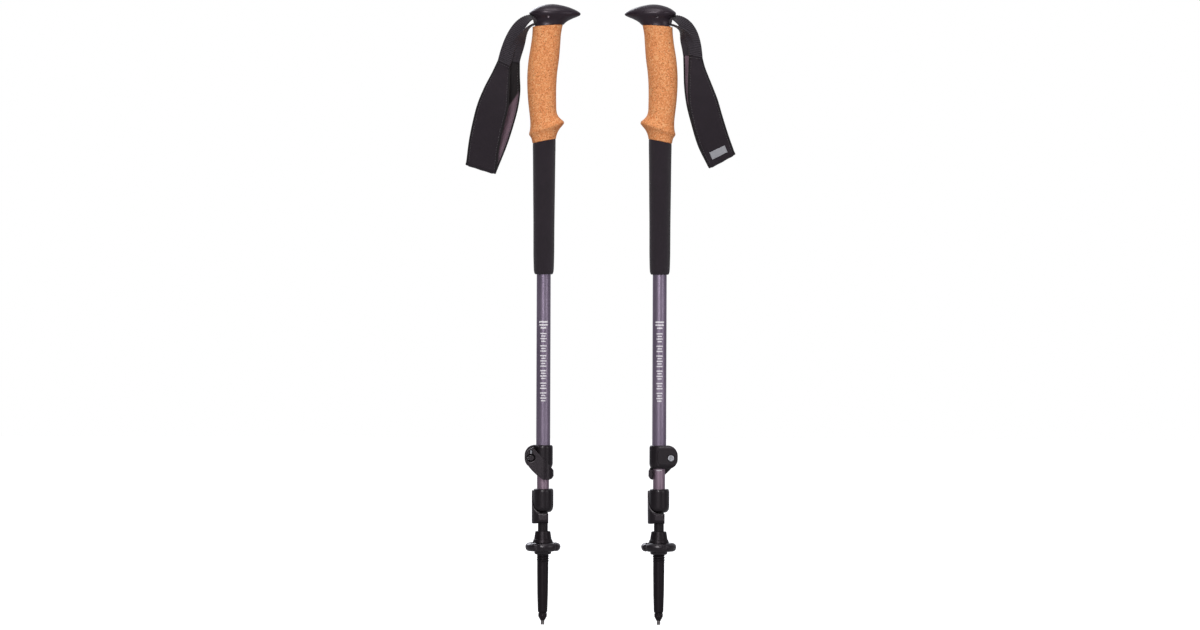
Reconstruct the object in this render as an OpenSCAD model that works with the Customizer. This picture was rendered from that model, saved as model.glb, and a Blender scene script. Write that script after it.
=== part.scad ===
// A pair of three-section trekking poles: cork grips, wrist straps, lever locks and baskets.
// Frame: +Z up, tips on Z = 0, pole axes on the X axis either side of the origin.
// Each pole is drawn in its own frame, with its axis on Z and the beak of its grip towards +X.
// The right-hand pole is the same pole turned half round, so the two beaks face each other.

/* [Pair] */
// Distance between the two pole axes
pole_gap = 116; // [105:1:200]

/* [Shafts] */
// Outside radius of the upper tube
upper_r = 7; // [6.9:0.05:7.2]
// Step in radius from one tube to the next
tube_step = 1; // [0.95:0.05:1.05]
// Wall thickness of every tube
tube_wall = 0.9; // [0.7:0.05:0.9]
// Height of the middle tube's upper end when the pole is collapsed
middle_top = 570; // [520:1:575]
// Height of the lower tube's upper end when the pole is collapsed
lower_top = 535; // [490:1:540]

/* [Locks] */
// Height of the upper lock's lower face
upper_lock_z = 156.1; // [150:0.1:170]
// Height of the lower lock's lower face
lower_lock_z = 112.3; // [108:0.1:116]
// Height of a lock collar
collar_h = 23.3; // [22:0.1:25]
// Outside radius of a lock collar
collar_r = 9.7; // [9.6:0.05:9.8]
// Angle the closed lever slants down at, in degrees
lever_slope = 50; // [46:1:54]

/* [Grip] */
// Height of the foam sleeve's lower end
foam_z = 350.1; // [320:0.1:380]
// Height of the joint between the cork and the head
cork_top = 598.1; // [597:0.1:599]
// Full height of the pole, to the crown of the head
pole_h = 620.3; // [620:0.1:622]

/* [Strap] */
// Width of the strap's webbing
webbing_w = 14; // [12:0.5:15]
// Thickness of the webbing
webbing_t = 1.5; // [1.2:0.1:1.6]
// Width of the padded part at its widest
pad_w = 32; // [26:1:34]
// Thickness of the padded part
pad_t = 3; // [2:0.1:3.2]

/* [Tip] */
// Outside radius of the basket
basket_r = 17.8; // [16:0.1:25]
// Number of openings and scallops round the basket
basket_lobes = 5; // [3:1:6]
// Radius of the carbide tip
carbide_r = 1.7; // [1.5:0.1:1.8]

/* [Hidden] */
PIECES = [
    "grip_head", "grip_core", "cork_grip", "foam_sleeve", "strap_pin", "strap_wedge", "strap_anchor",
    "strap_webbing", "strap_pad", "upper_tube", "upper_collar", "upper_lever", "upper_barrel",
    "upper_screw", "upper_washer", "middle_guide", "middle_tube", "lower_collar", "lower_lever",
    "lower_barrel", "lower_screw", "lower_washer", "lower_guide", "lower_tube", "ferrule", "basket",
    "tip_nose", "carbide_tip"
];
SIDES = ["left", "right"];

$fn = 64;
eps = 0.01;
run = 0.05;             // radial gap of a running or sliding fit
glue = 0.03;            // radial gap of a glued joint
deep = 60;              // a length that passes right through anything it cuts

// Tubes
middle_r = upper_r - tube_step;
lower_r = middle_r - tube_step;
swage_r = lower_r - 1;  // the lower tube's swaged end, held in the ferrule
swage_z = 88;           // where the swage starts
lower_z = 42;           // the lower tube's bottom end
lip_h = 2.3;            // a collar's bottom lip, which stops the tube it is on
guide_head = 10;        // a guide plug's head, above its tube
guide_spigot = 15;      // a guide plug's spigot, inside its tube

// Locks, in a frame on the tube axis at the collar's lower face: +X to the ears, +Y to the lever
ear_x = 18.5;           // reach of the ears
ear_corner = 10;        // their corner radius
ear_face = 10.2;        // outer face of the ear that holds the screw head, towards -Y
ear_y = 2;              // outer face of the ear under the lever, towards +Y
flat_x = 8.4;           // where the flat for the washer and the cam starts
slit_y = -0.9;
slit = 1.2;
screw_x = 11.8;
screw_z = 10.8;
screw_r = 1.5;
head_r = 3;
head_h = 2.2;
head_y = -7;            // seat of the screw head
washer_t = 0.6;
washer_r = 3.2;
barrel_y = 8.2;
barrel_r = 2.25;
barrel_low = 4;         // the barrel nut's ends
barrel_top = 19;
cam_off = 0.4;          // the cam's eccentricity, which slackens the screw as the lever opens
cam_r = barrel_y - ear_y - washer_t - cam_off - 0.03;
cam_gap = 0.15;         // room round the cam where the collar is hollowed for it
plate_in = 9.8;         // inner and outer faces of the lever's plate, and the radii it curls to
plate_out = 11.2;
hook_in = 8.4;          // inner radius of the hook, below the collar
hook_y = -5.6;          // how far round the tube the hook reaches
hook_x = 8.9;           // where the lever's upper edge passes the collar's lower face

// Tip
nose_z = 4;
nose_top = 11.3;
nose_r = 4.35;
stud_r = 3;
thread_z = 62.6;
thread_r = 5.9;
neck_r = 5.6;
seat_z = 79.6;          // underside of the ferrule's cup, where the basket seats
cup_top = 93.3;
hub_z = 70.2;
hub_r = 8.7;

// Grip
core_r = 8.5;           // nylon core inside the cork
core_z = 492;
core_cap = 2.5;
flange_r = 10;
sleeve_top = 483.5;     // where the foam meets the cork, on the axis, and the rise of that joint
sleeve_tilt = 0.204;
ring_n = 40;            // points round a lofted ring

// Strap wedge, in a frame at the mouth of its pocket with +X pointing into the head
mouth = [-11.5, 0, 603.7];
wedge_slope = 12;
wedge_len = 21.5;
wedge_h = 6;
wedge_w = 15;
wedge_travel = 3;
pin_at = 15.6;
pin_r = 1.25;

// ---- Shared shapes ----------------------------------------------------------------------------

// A tube with its axis on Z, from z0 to z1
module pipe(r_out, r_in, z0, z1) {
    difference() {
        translate([0, 0, z0]) cylinder(r = r_out, h = z1 - z0);
        translate([0, 0, z0 - 1]) cylinder(r = r_in, h = z1 - z0 + 2);
    }
}

// A solid through a list of rings, each a list of points that run anticlockwise seen from its far end
module loft(rings) {
    n = len(rings[0]);
    last = len(rings) - 1;
    sides = [for (i = [0 : last - 1]) for (j = [0 : n - 1])
        let (a = i * n + j, b = i * n + (j + 1) % n)
        each [[a, a + n, b], [a + n, b + n, b]]];
    caps = [[for (j = [0 : n - 1]) j], [for (j = [n - 1 : -1 : 0]) last * n + j]];
    polyhedron([for (ring = rings) each ring], concat(sides, caps), convexity = 6);
}

// An oval ring from x0 to x1, on a plane that rises by tilt for each unit of x, narrower in front by nose
function oval(z, tilt, x0, x1, y_half, nose = 0) = [for (k = [0 : ring_n - 1])
    let (a = 360 * k / ring_n, x = (x0 + x1) / 2 + (x1 - x0) / 2 * cos(a))
    [x, y_half * sin(a) * (1 - nose * cos(a)), z + tilt * x]];

function smooth(t) = let (u = min(max(t, 0), 1)) u * u * (3 - 2 * u);
function unit(v) = v / norm(v);
function bezier(p, t) = pow(1 - t, 3) * p[0] + 3 * t * pow(1 - t, 2) * p[1]
    + 3 * t * t * (1 - t) * p[2] + pow(t, 3) * p[3];

// Corners of a strip's section at c, w wide along side and t thick, for a strip that runs along ahead
function strip(c, ahead, side, w, t) =
    let (s = unit(side) * w / 2,
         n = unit(cross(ahead, side)) * t / 2)
    [c + s + n, c - s + n, c - s - n, c + s - n];

// ---- Grip -------------------------------------------------------------------------------------

module grip_head() {
    h = pole_h - cork_top;
    // height above the cork as a share of the head's height, rear, front, half width, narrowing of the beak
    stations = [
        [0.00, -12.3, 18.4, 12.5, 0.00], [0.16, -10.3, 20.8, 12.6, 0.05], [0.34, -12.5, 26.9, 14.5, 0.12],
        [0.43, -14.4, 32.9, 16.0, 0.20], [0.52, -15.2, 35.8, 17.0, 0.25], [0.61, -15.1, 35.5, 17.0, 0.25],
        [0.70, -13.2, 32.8, 16.0, 0.22], [0.79, -10.6, 28.6, 14.0, 0.20], [0.88, -6.6, 23.4, 11.0, 0.15],
        [0.955, -1.0, 16.0, 6.5, 0.10], [1.00, 4.0, 11.0, 2.0, 0.00]
    ];
    color("#332b32") difference() {
        loft([for (s = stations) oval(cork_top + s[0] * h, 0, s[1], s[2], s[3], s[4])]);
        at_mouth() translate([-20, -wedge_w / 2 - 0.7, -wedge_h / 2 - webbing_t - 0.3])
            cube([wedge_len + 23, wedge_w + 1.4, wedge_h + 2 * webbing_t + 0.6]);
        pin_hole(pin_r + glue);
        translate([core_peg_x(), 0, cork_top - 1]) cylinder(r = core_peg_r() + glue, h = 6);
    }
}

module at_mouth() translate(mouth) rotate([0, -wedge_slope, 0]) children();
module pin_hole(r) at_mouth() translate([pin_at, 0, 0]) rotate([90, 0, 0])
    cylinder(r = r, h = deep, center = true);
function core_peg_x() = 15;
function core_peg_r() = 2;

// Nylon core: a sleeve over the upper tube, a cap that closes it, and a peg that locates the head
module grip_core() {
    cap_z = cork_top - core_cap;
    color("#2a2a2e") {
        difference() {
            union() {
                translate([0, 0, core_z]) cylinder(r = core_r, h = cap_z - core_z + eps);
                translate([0, 0, cap_z]) cylinder(r = flange_r, h = core_cap);
                translate([core_peg_x(), 0, cap_z]) cylinder(r = core_peg_r(), h = core_cap + 4.5);
                translate([0, -core_peg_r(), cap_z]) cube([core_peg_x(), 2 * core_peg_r(), core_cap]);
            }
            translate([0, 0, core_z - 1]) cylinder(r = upper_r + glue, h = cap_z - core_z + 1);
        }
    }
}

module cork_grip() {
    // height on the axis, tilt, rear, front, half width: foam joint, flared flange, palm swell, neck
    stations = [
        [sleeve_top, sleeve_tilt, -11.6, 11.5, 11.5], [487.4, 0.32, -12.0, 13.0, 12.2],
        [491.4, 0.365, -13.2, 16.9, 14.0], [494.8, 0.346, -15.0, 19.7, 16.5],
        [499.2, 0.392, -14.2, 16.4, 15.0], [503.8, 0.43, -14.0, 13.2, 13.7],
        [510.0, 0.38, -14.3, 12.0, 13.1], [522.0, 0.20, -15.8, 11.8, 13.0],
        [535.0, 0.0, -17.0, 12.0, 13.2], [550.0, 0.0, -17.1, 12.7, 13.5],
        [565.0, 0.0, -15.9, 14.4, 13.2], [580.0, 0.0, -13.8, 15.7, 12.6],
        [590.0, 0.0, -12.4, 16.3, 12.3], [cork_top, 0.0, -12.3, 18.4, 12.5]
    ];
    color("#df9461") difference() {
        loft([for (s = stations) oval(s[0], s[1], s[2], s[3], s[4])]);
        translate([0, 0, core_z - deep]) cylinder(r = upper_r + glue, h = 2 * deep);
        translate([0, 0, core_z - 0.5]) cylinder(r = core_r + glue, h = 2 * deep);
        translate([0, 0, cork_top - core_cap - glue]) {
            cylinder(r = flange_r + glue, h = deep);
            translate([0, -core_peg_r() - glue, 0]) cube([core_peg_x(), 2 * core_peg_r() + 2 * glue, deep]);
            translate([core_peg_x(), 0, 0]) cylinder(r = core_peg_r() + glue, h = deep);
        }
    }
}

// Foam sleeve: tapers downwards, rolled lower end, upper end cut on the slant to meet the cork
module foam_sleeve() {
    roll = 3.4;             // radius of the rolled end
    end_r = 10;
    top_r = 11.45;
    gap = 0.1;
    color("#2f282f") difference() {
        rotate_extrude() polygon(concat(
            [[upper_r + glue, foam_z]],
            [for (a = [-75 : 15 : 0]) [end_r - roll + roll * cos(a), foam_z + roll + roll * sin(a)]],
            [[10.5, foam_z + 40], [top_r, foam_z + 115], [top_r, sleeve_top + 10],
             [upper_r + glue, sleeve_top + 10]]
        ));
        translate([0, 0, sleeve_top - gap]) rotate([0, -atan(sleeve_tilt), 0])
            translate([-deep, -deep, 0]) cube(2 * deep);
    }
}

// ---- Strap ------------------------------------------------------------------------------------

module strap_pin() color("#8c8c90") at_mouth() translate([pin_at, 0, 0]) rotate([90, 0, 0])
    cylinder(r = pin_r, h = 26, center = true);

// Wedge that grips the webbing in the head; the pin runs in its slot and stops it falling out
module strap_wedge() color("#2a2a2e") at_mouth() difference() {
    union() {
        translate([0, -wedge_w / 2, -wedge_h / 2]) cube([wedge_len - wedge_h / 2, wedge_w, wedge_h]);
        translate([wedge_len - wedge_h / 2, 0, 0]) rotate([90, 0, 0])
            cylinder(r = wedge_h / 2, h = wedge_w, center = true);
    }
    for (x = [pin_at, pin_at + wedge_travel])
        translate([x, 0, 0]) rotate([90, 0, 0]) cylinder(r = pin_r + 0.1, h = deep, center = true);
    translate([pin_at, -deep / 2, -pin_r - 0.1]) cube([wedge_travel, deep, 2 * pin_r + 0.2]);
}

// The turn of webbing round the wedge, inside the head
module strap_anchor() color("#343036") at_mouth() {
    turn_x = wedge_len - wedge_h / 2;
    r_in = wedge_h / 2 + glue;
    rotate([90, 0, 0]) linear_extrude(webbing_w, center = true) difference() {
        union() {
            translate([0, -r_in - webbing_t]) square([turn_x, 2 * (r_in + webbing_t)]);
            translate([turn_x, 0]) circle(r_in + webbing_t);
        }
        translate([-1, -r_in]) square([turn_x + 1, 2 * r_in]);
        translate([turn_x, 0]) circle(r_in);
    }
}

// Hang of each strap, seen from the side of the pole: the two layers' seams, the fold at the bottom,
// how far each layer bows, the angle of the width at the seam and at the fold, and which layer is nearer
function hang(side) = side == "left"
    ? [[-40.6, 564.6], [-31.0, 564.6], [-62.7, 458.3], -3, 4.7, 14, 17.7, 1]
    : [[-33.0, 571.4], [-29.5, 571.4], [-60.2, 468.5], -1, 1.5, 10, 28.8, -1];

fold_r = 2.6;
bow_y = 7;

// Centre line of the padded part: t runs 0 to 1 down the outer layer, to 2 round the fold, to 3 back up
function pad_line(side, t) =
    let (h = hang(side), low = h[2], y = h[7],
         u = t < 1 ? t : 3 - t,
         top = t < 1 ? h[0] : h[1],
         bow = (t < 1 ? h[3] : h[4]) * sin(180 * u),
         spread = (t < 1 ? -1 : 1) * y * (1.9 + (fold_r - 1.9) * u + bow_y * sin(180 * u)),
         a = 180 * (t - 1))
    t >= 1 && t <= 2
    ? [low.x - fold_r * sin(a) * sin(h[6]), -y * fold_r * cos(a), low.y - fold_r * sin(a) * cos(h[6])]
    : [top.x + (low.x - top.x) * u + bow, spread, top.y + (low.y - top.y) * u];

// How far down its layer a point of the pad is, from 0 at the seam to 1 at the fold
function pad_share(t) = min(t, 3 - t, 1);
function pad_width(t) = webbing_w + 1 + (pad_w - webbing_w - 1) * smooth(pad_share(t) / 0.62);

// Direction of the pad's width
function pad_side(side, t) =
    let (h = hang(side),
         a = h[5] + (h[6] - h[5]) * smooth(pad_share(t)))
    [cos(a), 0, -sin(a)];

module strap_pad(side) {
    steps = concat([for (t = [0 : 0.1 : 0.95]) t], [for (t = [1 : 0.2 : 2.01]) t],
                   [for (t = [2.1 : 0.1 : 3.01]) t]);
    color("#2f262d") loft([for (t = steps)
        let (ahead = pad_line(side, t + eps) - pad_line(side, t - eps))
        strip(pad_line(side, t), ahead, pad_side(side, t), pad_width(t), pad_t)]);
}

// The two legs of webbing between the head and the padded part, each turning a quarter as it goes
module strap_webbing(side) {
    y = hang(side)[7];
    gap = 0.06;             // between the webbing's end and the pad
    // where each leg starts, the point it sets off towards, and its seam's place on the pad
    legs = [
        [[-15.2, 0, 606.9], [-27, -0.5 * y, 605], 0],
        [[-14.6, 0, 598.9], [-20, 0.5 * y, 598], 3]
    ];
    color("#343036") for (leg = legs) {
        seam = leg[2];
        way = unit(pad_line(side, abs(seam - eps)) - pad_line(side, seam));
        end = pad_line(side, seam) - gap * way;
        path = [leg[0], leg[1], end - 18 * way, end];
        loft([for (t = [0 : 0.1 : 1.01])
            let (turn = 90 * smooth(t / 0.9),
                 ahead = bezier(path, t + eps) - bezier(path, t - eps),
                 across = -cos(turn) * [0, y, 0] + sin(turn) * pad_side(side, 0))
            strip(bezier(path, t), ahead, across, webbing_w, webbing_t)]);
    }
}

// ---- Shafts -----------------------------------------------------------------------------------

// Two slits that let a tube's lower end close under its collar
module end_slits(z) for (turn = [0, 90]) rotate([0, 0, turn + 45])
    translate([-deep / 2, -0.7, z - 1]) cube([deep, 1.4, collar_h - lip_h - 3]);

module upper_tube() color("#6d6172") difference() {
    pipe(upper_r, upper_r - tube_wall, upper_lock_z + lip_h, cork_top - core_cap);
    end_slits(upper_lock_z + lip_h);
}

module middle_tube() color("#7f6e7c") difference() {
    pipe(middle_r, middle_r - tube_wall, lower_lock_z + lip_h, middle_top);
    end_slits(lower_lock_z + lip_h);
}

module lower_tube() color("#252125") rotate_extrude() polygon([
    [swage_r - tube_wall, lower_z], [swage_r, lower_z], [swage_r, swage_z - 12], [lower_r, swage_z],
    [lower_r, lower_top], [lower_r - tube_wall, lower_top], [lower_r - tube_wall, swage_z],
    [swage_r - tube_wall, swage_z - 12]
]);

// Nylon plug in a tube's upper end, which keeps that tube central in the one outside it
module guide(bore_r, tube_bore, top) color("#d8d6d0") {
    chamfer = 1;
    rotate_extrude() polygon([
        [1.5, top - guide_spigot], [tube_bore - run, top - guide_spigot], [tube_bore - run, top],
        [bore_r - run, top], [bore_r - run, top + guide_head - chamfer],
        [bore_r - run - chamfer, top + guide_head], [1.5, top + guide_head]
    ]);
}

module middle_guide() guide(upper_r - tube_wall, middle_r - tube_wall, middle_top);
module lower_guide() guide(middle_r - tube_wall, lower_r - tube_wall, lower_top);

// ---- Locks ------------------------------------------------------------------------------------

// The ears' outline, a D with its flat side on the tube axis
module ear_outline() {
    square([ear_x - ear_corner, collar_h]);
    translate([0, ear_corner]) square([ear_x, collar_h - 2 * ear_corner]);
    for (z = [ear_corner, collar_h - ear_corner]) translate([ear_x - ear_corner, z]) circle(ear_corner);
}

// Split collar on the lower end of a tube of radius tube_r; the tube inside it has radius inner_r
module collar(tube_r, inner_r) color("#262126") {
    chamfer = 1;
    slide = 0.06;           // radial gap round the inner tube
    difference() {
        union() {
            rotate_extrude() polygon([
                [inner_r + slide, 0], [collar_r - chamfer, 0], [collar_r, chamfer],
                [collar_r, collar_h - chamfer], [collar_r - chamfer, collar_h],
                [inner_r + slide, collar_h]
            ]);
            translate([0, ear_y, 0]) rotate([90, 0, 0]) linear_extrude(ear_y + ear_face) ear_outline();
        }
        translate([0, 0, lip_h]) cylinder(r = tube_r + glue, h = deep);
        translate([0, 0, -1]) cylinder(r = inner_r + slide, h = deep);
        translate([0, 0, collar_h - 1.2]) cylinder(r1 = tube_r, r2 = tube_r + 1.3, h = 1.3);
        translate([inner_r - 1, slit_y - slit / 2, -1]) cube([deep, slit, deep]);
        translate([flat_x, ear_y, -1]) cube(deep);
        at_barrel() translate([0, 0, -1]) cylinder(r = cam_off + cam_r + cam_gap, h = deep);
        at_screw() {
            cylinder(r = screw_r + 0.1, h = deep, center = true);
            translate([0, 0, -deep]) cylinder(r = head_r + 0.6, h = deep + head_y);
        }
    }
}

// Frames on the screw, with +Z from its head to its point, and on the barrel nut it is screwed into
module at_screw() translate([screw_x, 0, screw_z]) rotate([-90, 0, 0]) children();
module at_barrel() translate([screw_x, barrel_y, 0]) children();

// The lever's outline seen square on, reach first and height second: a round end over the ears, then a
// paddle that slants down and away from them, past the collar's lower face
module lever_outline() {
    end_r = ear_corner - 0.8;
    end_x = screw_x - 3;
    end_z = collar_h / 2;
    rise = 21.5;
    polygon(concat(
        [for (a = [-40 : 11.5 : 75]) [end_x + end_r * cos(a), end_z + end_r * sin(a)]],
        [[rise / tan(lever_slope) - hook_x + 0.9, rise], [-hook_x, 0.6], [-10.4, -2], [-10.6, -7.5],
         [-9, -10], [-6, -11.2], [0, -11], [6, -6.6], [10.6, -2.2], [14.2, 2]]
    ));
}

// Section of the lever across the tube: a plate beside the ears that curls round the tube to a hook
module plate_section(inner, outer) difference() {
    union() {
        circle(outer);
        square([deep, outer]);
    }
    circle(inner);
    translate([0, -deep]) square([deep, deep + inner]);
    translate([-deep, -deep]) square([2 * deep, deep + hook_y]);
}

// Section of the cam at the lever's end, round the barrel nut, with a web to the plate
module cam_section() intersection() {
    union() {
        translate([0, -cam_off]) circle(cam_r);
        polygon([[-1, -cam_off - cam_r + 0.2], [-5.2, plate_in - barrel_y], [-5.2, plate_out - barrel_y],
                 [0, plate_out - barrel_y]]);
    }
    polygon([[-0.6, -deep], [deep, -deep], [deep, plate_out - barrel_y], [-5.2, plate_out - barrel_y],
             [-5.2, plate_in - barrel_y]]);
}

// Cam lever: its end turns on the barrel nut, and its paddle folds round the collar and the tube
module lever() color("#262026") {
    low = -12;
    tail = [screw_x, barrel_y - cam_off];
    slot = screw_r + 0.25;
    difference() {
        intersection() {
            union() {
                translate([0, 0, low]) linear_extrude(collar_h - low) intersection() {
                    plate_section(plate_in, plate_out);
                    union() {
                        translate([-deep, -deep]) square([deep + tail.x, 2 * deep]);
                        translate(tail) circle(cam_r);
                    }
                }
                translate([0, 0, low]) linear_extrude(-low - 1) intersection() {
                    plate_section(hook_in, plate_out);
                    translate([-deep, -deep]) square([deep + 1, 2 * deep]);
                }
                at_barrel() translate([0, 0, 2]) linear_extrude(collar_h) cam_section();
            }
            rotate([90, 0, 0]) linear_extrude(deep, center = true) lever_outline();
        }
        translate([-deep, -deep, -1]) cube([2 * deep, deep, deep]);
        at_barrel() {
            translate([0, 0, -deep]) cylinder(r = barrel_r + run, h = 2 * deep);
            translate([-slot, -deep, screw_z - slot]) cube([slot, deep, 2 * slot]);
            translate([0, -deep, screw_z - slot]) cube([deep, deep + 2.45, 2 * slot]);
            // window over the barrel nut, and a ring groove over the screw
            translate([-1.4, 0, 15]) cube([2.8, deep, 3.4]);
        }
        translate([0, plate_out - 0.5, 0]) at_screw() difference() {
            cylinder(r = 4.2, h = 5);
            cylinder(r = 2.8, h = 5);
        }
    }
}

// Cross-drilled barrel nut, the lever's hinge pin
module barrel() color("#8c8c90") difference() {
    at_barrel() translate([0, 0, barrel_low]) cylinder(r = barrel_r, h = barrel_top - barrel_low);
    at_screw() cylinder(r = screw_r + 0.02, h = deep, center = true);
}

module screw() color("#8c8c90") at_screw() difference() {
    union() {
        translate([0, 0, head_y]) cylinder(r = screw_r, h = barrel_y + 1.6 - head_y);
        translate([0, 0, head_y - head_h]) cylinder(r = head_r, h = head_h);
    }
    for (turn = [20, 110]) rotate([0, 0, turn])
        translate([-1.7, -0.4, head_y - head_h - 1]) cube([3.4, 0.8, 2.4]);
}

module washer() color("#b0b0b4") at_screw() difference() {
    translate([0, 0, ear_y + 0.01]) cylinder(r = washer_r, h = washer_t - 0.02);
    cylinder(r = screw_r + 0.1, h = deep);
}

// ---- Tip and basket ---------------------------------------------------------------------------

// Plastic ferrule: a cup over the tube's end, a short thread for the basket, and a tapering leg
module ferrule() color("#201a20") difference() {
    pitch = 2.6;
    rotate_extrude() polygon(concat(
        [[0, nose_top], [4.6, nose_top], [4.75, nose_top + 5], [5.1, nose_top + 13], [5.45, nose_top + 31],
         [neck_r, thread_z - 0.5]],
        [for (i = [0 : 2])
            let (z = thread_z + i * pitch)
            each [[neck_r, z], [thread_r, z + 0.5], [thread_r, z + 1.1], [neck_r, z + 1.6]]],
        [[neck_r, seat_z], [8.6, seat_z], [10.2, seat_z + 2], [9.3, seat_z + 5], [8.9, seat_z + 5],
         [7.5, cup_top], [0, cup_top]]
    ));
    translate([0, 0, swage_z]) cylinder(r = lower_r + glue, h = deep);
    translate([0, 0, swage_z - 12]) cylinder(r1 = swage_r + glue, r2 = lower_r + glue, h = 12 + eps);
    translate([0, 0, lower_z - 0.2]) cylinder(r = swage_r + glue, h = deep);
    translate([0, 0, nose_top - 1]) cylinder(r = stud_r + glue, h = 11);
    translate([0, 0, cup_top - 1.2]) cylinder(r1 = lower_r, r2 = lower_r + 1.6, h = 1.3);
}

// Basket: a hub that screws up under the cup, and a shallow dished disc with openings and a scalloped rim
module basket() color("#231f26") {
    bore = thread_r + run + 0.05;
    mid_r = (hub_r + basket_r) / 2 + 0.2;
    difference() {
        rotate_extrude() polygon([
            [bore, hub_z], [hub_r - 1.2, hub_z], [hub_r - 0.2, hub_z + 1], [hub_r, seat_z - 3],
            [hub_r + 1.5, seat_z - 0.9], [basket_r - 3, seat_z - 0.5],
            [basket_r - 2.2, seat_z - 2.2], [basket_r - 4.4, seat_z - 5.2],
            [basket_r - 3.8, seat_z - 6.2], [basket_r - 2.2, seat_z - 5.8], [basket_r - 0.7, seat_z - 4.2],
            [basket_r, seat_z - 1.6], [basket_r - 0.5, seat_z + 0.3], [basket_r - 2.2, seat_z + 1.8],
            [basket_r - 4.6, seat_z + 2.4], [hub_r + 2.6, seat_z + 1.4], [hub_r + 0.4, seat_z - glue],
            [bore, seat_z - glue]
        ]);
        for (i = [0 : basket_lobes - 1]) rotate([0, 0, 360 * (i + 0.5) / basket_lobes]) {
            translate([mid_r, 0, 0]) cylinder(r = 2.3, h = 2 * deep);
            translate([basket_r + 4.2, 0, 0]) cylinder(r = 5.4, h = 2 * deep);
        }
    }
}

// Screw-in nose that holds the carbide tip, with a cross hole for the pin that turns it
module tip_nose() color("#3a3438") difference() {
    rotate_extrude() polygon([
        [0, nose_z], [carbide_r + 0.4, nose_z], [nose_r, nose_z + 4.3], [nose_r, nose_top],
        [stud_r, nose_top], [stud_r, nose_top + 9], [0, nose_top + 9]
    ]);
    translate([0, 0, nose_z - 1]) cylinder(r = carbide_r + glue, h = 7);
    translate([0, 0, nose_top - 1.7]) rotate([90, 0, 0]) cylinder(r = 0.7, h = deep, center = true);
}

// Carbide tip with a hollow end, so that its rim bites
module carbide_tip() color("#7a7272") difference() {
    cylinder(r = carbide_r, h = nose_z + 5.9);
    translate([0, 0, -1]) cylinder(r1 = carbide_r + 0.4, r2 = 0.4, h = 2);
}

// ---- Assembly ---------------------------------------------------------------------------------

// A lock on its tube: the upper one has its ears on the strap's side, the lower one faces front or back
module at_lock(z, turn) translate([0, 0, z]) rotate([0, 0, turn]) children();
module at_upper_lock() at_lock(upper_lock_z, 180) children();
module at_lower_lock(side) at_lock(lower_lock_z, side == "left" ? 90 : -90) children();

module piece(name, side) {
    if (name == "grip_head") grip_head();
    if (name == "grip_core") grip_core();
    if (name == "cork_grip") cork_grip();
    if (name == "foam_sleeve") foam_sleeve();
    if (name == "strap_pin") strap_pin();
    if (name == "strap_wedge") strap_wedge();
    if (name == "strap_anchor") strap_anchor();
    if (name == "strap_webbing") strap_webbing(side);
    if (name == "strap_pad") strap_pad(side);
    if (name == "upper_tube") upper_tube();
    if (name == "upper_collar") at_upper_lock() collar(upper_r, middle_r);
    if (name == "upper_lever") at_upper_lock() lever();
    if (name == "upper_barrel") at_upper_lock() barrel();
    if (name == "upper_screw") at_upper_lock() screw();
    if (name == "upper_washer") at_upper_lock() washer();
    if (name == "middle_guide") middle_guide();
    if (name == "middle_tube") middle_tube();
    if (name == "lower_collar") at_lower_lock(side) collar(middle_r, lower_r);
    if (name == "lower_lever") at_lower_lock(side) lever();
    if (name == "lower_barrel") at_lower_lock(side) barrel();
    if (name == "lower_screw") at_lower_lock(side) screw();
    if (name == "lower_washer") at_lower_lock(side) washer();
    if (name == "lower_guide") lower_guide();
    if (name == "lower_tube") lower_tube();
    if (name == "ferrule") ferrule();
    if (name == "basket") basket();
    if (name == "tip_nose") tip_nose();
    if (name == "carbide_tip") carbide_tip();
}

// A pole in its place: the left one as drawn, the right one turned half round
module pole_place(side) {
    turned = side == "right";
    translate([turned ? pole_gap / 2 : -pole_gap / 2, 0, 0]) rotate([0, 0, turned ? 180 : 0]) children();
}

for (side = SIDES) for (name = PIECES)
    pole_place(side) piece(name, side);
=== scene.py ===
"""Looks for a pair of trekking poles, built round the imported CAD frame.

Each pole is drawn in its own frame, in millimetres: axis on Z, beak towards +X, tip on Z = 0.
The left pole stands as drawn and the right one is turned half round, as in the CAD.
"""

import math

import bmesh
import bpy
import numpy as np
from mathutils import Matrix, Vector


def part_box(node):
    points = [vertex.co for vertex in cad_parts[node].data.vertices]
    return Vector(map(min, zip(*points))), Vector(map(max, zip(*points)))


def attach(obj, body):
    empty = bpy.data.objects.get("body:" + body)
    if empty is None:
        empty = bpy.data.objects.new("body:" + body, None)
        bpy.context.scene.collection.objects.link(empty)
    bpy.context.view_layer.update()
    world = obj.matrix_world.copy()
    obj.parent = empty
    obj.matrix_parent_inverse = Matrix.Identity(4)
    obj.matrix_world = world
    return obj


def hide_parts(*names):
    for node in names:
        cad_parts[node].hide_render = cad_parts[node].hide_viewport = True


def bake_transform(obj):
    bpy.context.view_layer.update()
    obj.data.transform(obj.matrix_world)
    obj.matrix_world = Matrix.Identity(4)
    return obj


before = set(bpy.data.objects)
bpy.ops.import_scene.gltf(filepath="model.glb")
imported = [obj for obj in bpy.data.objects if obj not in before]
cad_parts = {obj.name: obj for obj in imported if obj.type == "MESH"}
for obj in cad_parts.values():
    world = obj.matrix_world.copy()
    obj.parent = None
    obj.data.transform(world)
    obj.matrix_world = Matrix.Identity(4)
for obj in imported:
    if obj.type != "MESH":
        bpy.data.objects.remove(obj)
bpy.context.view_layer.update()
MM = 0.001
SIDES = ("left", "right")


# ---- Places taken from the CAD ----

def box_mm(node):
    """Lowest and highest corner of a CAD node, in millimetres."""
    lo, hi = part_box(node)
    return np.array(lo) / MM, np.array(hi) / MM


def axis_x(side):
    lo, hi = box_mm(side + "_upper_tube")
    return (lo[0] + hi[0]) / 2


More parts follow.
